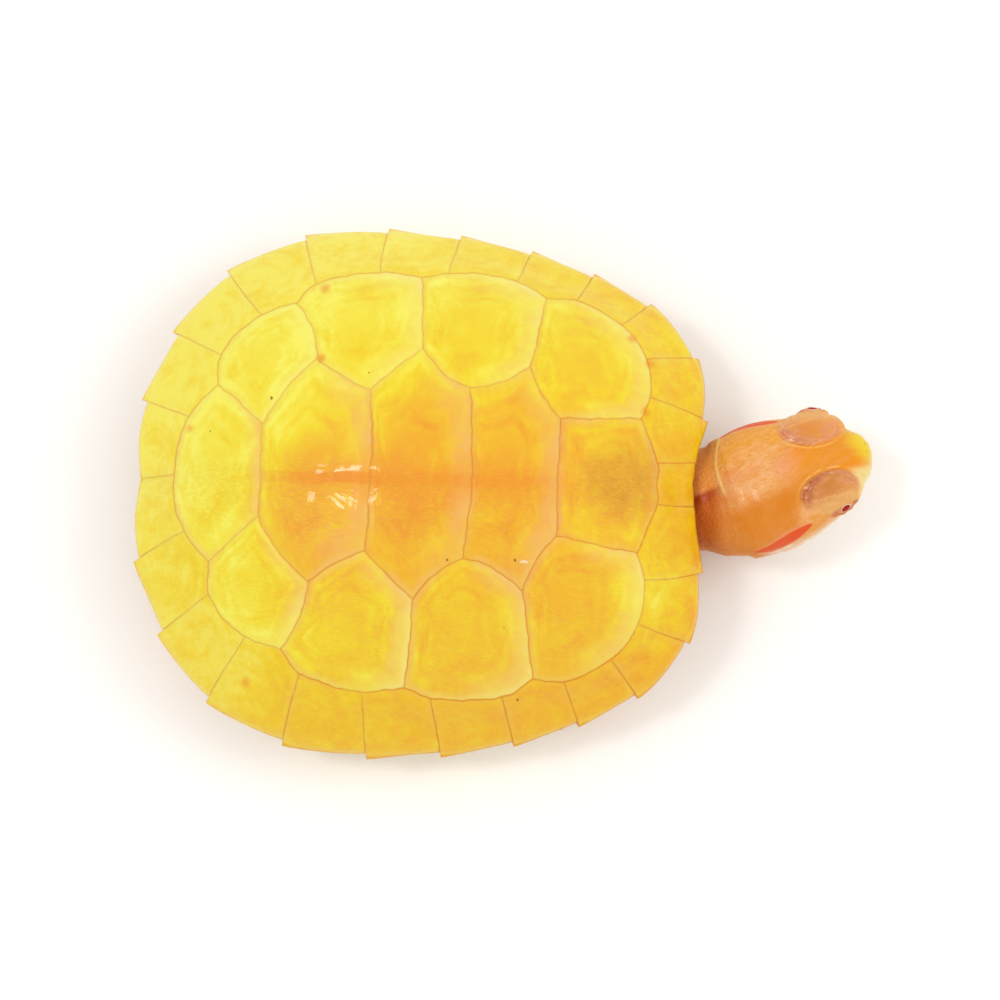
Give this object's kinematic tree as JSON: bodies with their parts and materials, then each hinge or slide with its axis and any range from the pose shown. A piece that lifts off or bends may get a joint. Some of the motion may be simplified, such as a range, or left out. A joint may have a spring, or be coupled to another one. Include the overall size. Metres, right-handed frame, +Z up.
{
  "type": "red-eared slider turtle",
  "caption": "Young pale-yellow slider turtle lying on its plastron, head out and turned to its left, legs and tail drawn in under the domed scuted shell.",
  "frame": {"origin": "bottom centre of the whole animal's box, level with the flat underside of the plastron", "axes": "+Z up, the shell faces -Y, the animal's left side is +X"},
  "size_m": [0.056, 0.0766, 0.0248],
  "materials": {
    "shell_yellow": "bright yellow horn, satin, with paler borders along the seams",
    "shell_orange": "yellow-orange horn, satin, deepest along the keel",
    "plastron_cream": "cream-yellow horn, satin",
    "skin": "moist orange-tan skin, slightly glossy",
    "eye": "wet, glossy red eye"
  },
  "bodies": {
    "root": {"nuchal_scute": "shell_yellow", "vertebral_scute_1": "shell_orange", "vertebral_scute_2": "shell_orange", "vertebral_scute_3": "shell_orange", "vertebral_scute_4": "shell_orange", "vertebral_scute_5": "shell_orange", "costal_scute_left_1": "shell_yellow", "costal_scute_left_2": "shell_yellow", "costal_scute_left_3": "shell_yellow", "costal_scute_left_4": "shell_yellow", "marginal_scute_left_1": "shell_yellow", "marginal_scute_left_2": "shell_yellow", "marginal_scute_left_3": "shell_yellow", "marginal_scute_left_4": "shell_yellow", "marginal_scute_left_5": "shell_yellow", "marginal_scute_left_6": "shell_yellow", "marginal_scute_left_7": "shell_yellow", "marginal_scute_left_8": "shell_yellow", "marginal_scute_left_9": "shell_yellow", "marginal_scute_left_10": "shell_yellow", "marginal_scute_left_11": "shell_yellow", "marginal_scute_left_12": "shell_yellow", "gular_scute_left": "plastron_cream", "humeral_scute_left": "plastron_cream", "pectoral_scute_left": "plastron_cream", "abdominal_scute_left": "plastron_cream", "femoral_scute_left": "plastron_cream", "anal_scute_left": "plastron_cream", "foreleg_left": "skin", "hindleg_left": "skin", "eye_left": "eye", "costal_scute_right_1": "shell_yellow", "costal_scute_right_2": "shell_yellow", "costal_scute_right_3": "shell_yellow", "costal_scute_right_4": "shell_yellow", "marginal_scute_right_1": "shell_yellow", "marginal_scute_right_2": "shell_yellow", "marginal_scute_right_3": "shell_yellow", "marginal_scute_right_4": "shell_yellow", "marginal_scute_right_5": "shell_yellow", "marginal_scute_right_6": "shell_yellow", "marginal_scute_right_7": "shell_yellow", "marginal_scute_right_8": "shell_yellow", "marginal_scute_right_9": "shell_yellow", "marginal_scute_right_10": "shell_yellow", "marginal_scute_right_11": "shell_yellow", "marginal_scute_right_12": "shell_yellow", "gular_scute_right": "plastron_cream", "humeral_scute_right": "plastron_cream", "pectoral_scute_right": "plastron_cream", "abdominal_scute_right": "plastron_cream", "femoral_scute_right": "plastron_cream", "anal_scute_right": "plastron_cream", "foreleg_right": "skin", "hindleg_right": "skin", "eye_right": "eye", "trunk": "skin", "neck": "skin", "head": "skin", "tail": "skin"}
  },
  "joints": []
}
